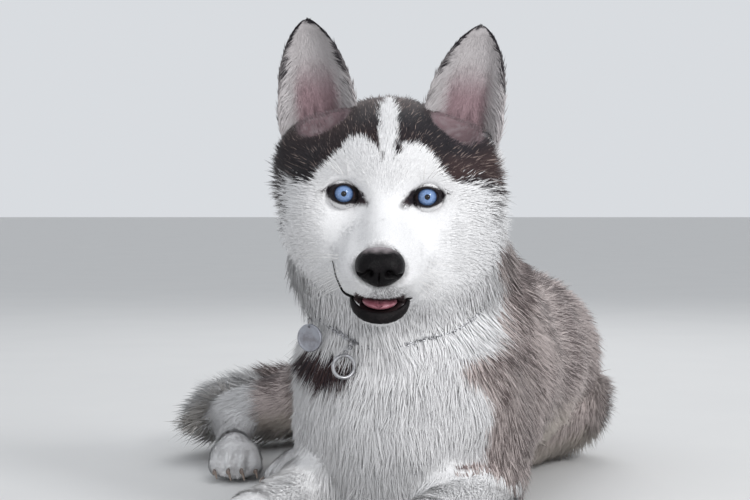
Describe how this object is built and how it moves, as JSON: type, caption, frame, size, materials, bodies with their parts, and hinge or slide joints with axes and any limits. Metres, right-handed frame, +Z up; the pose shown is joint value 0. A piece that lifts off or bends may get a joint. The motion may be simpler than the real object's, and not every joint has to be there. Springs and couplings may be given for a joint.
{
  "type": "lying siberian husky pup model",
  "caption": "Life-size still model of a siberian husky pup lying down with head up, ears upright, hind legs rolled to one side, tail curled round and a slim chain collar with a bare tag.",
  "frame": {"origin": "on the ground under the middle of the bounding box of the whole pup", "axes": "+Z up, -Y the way the head faces, +X the pup's left"},
  "size_m": [0.3848, 0.6688, 0.3643],
  "materials": {
    "coat_white": "soft white fur with a dark cap on the head",
    "coat_grey": "grey brown fur with dark guard hairs",
    "ear_skin": "pink skin under thin pale hair, dark short fur behind",
    "nose_leather": "pebbled black, moist",
    "eyes": "pale blue iris under a clear wet cornea",
    "tongue": "moist pink",
    "claws": "horn, dull gloss",
    "chain_steel": "polished steel chain",
    "tag_metal": "worn bare disc"
  },
  "bodies": {
    "root": {"head": "coat_white", "neck": "coat_white", "chest": "coat_white", "upper_arm_right": "coat_white", "upper_arm_left": "coat_white", "barrel": "coat_grey", "hips": "coat_grey", "lower_jaw": "coat_white", "tongue": "tongue", "nose": "nose_leather", "eye_left": "eyes", "eye_right": "eyes", "collar": "chain_steel", "ear_left": "ear_skin", "ear_right": "ear_skin", "forearm_right": "coat_white", "forepaw_right": "coat_white", "claw_fore_right_1": "claws", "claw_fore_right_2": "claws", "claw_fore_right_3": "claws", "claw_fore_right_4": "claws", "forearm_left": "coat_white", "forepaw_left": "coat_white", "claw_fore_left_1": "claws", "claw_fore_left_2": "claws", "claw_fore_left_3": "claws", "claw_fore_left_4": "claws", "thigh_left": "coat_grey", "shin_left": "coat_grey", "hind_foot_left": "coat_white", "hindpaw_left": "coat_white", "claw_hind_left_1": "claws", "claw_hind_left_2": "claws", "claw_hind_left_3": "claws", "claw_hind_left_4": "claws", "thigh_right": "coat_grey", "shin_right": "coat_grey", "hind_foot_right": "coat_white", "hindpaw_right": "coat_white", "claw_hind_right_1": "claws", "claw_hind_right_2": "claws", "claw_hind_right_3": "claws", "claw_hind_right_4": "claws", "tail_root": "coat_grey", "tail_middle": "coat_grey", "tail_tip": "coat_grey", "collar_end_ring": "chain_steel", "tag": "tag_metal"}
  },
  "joints": []
}
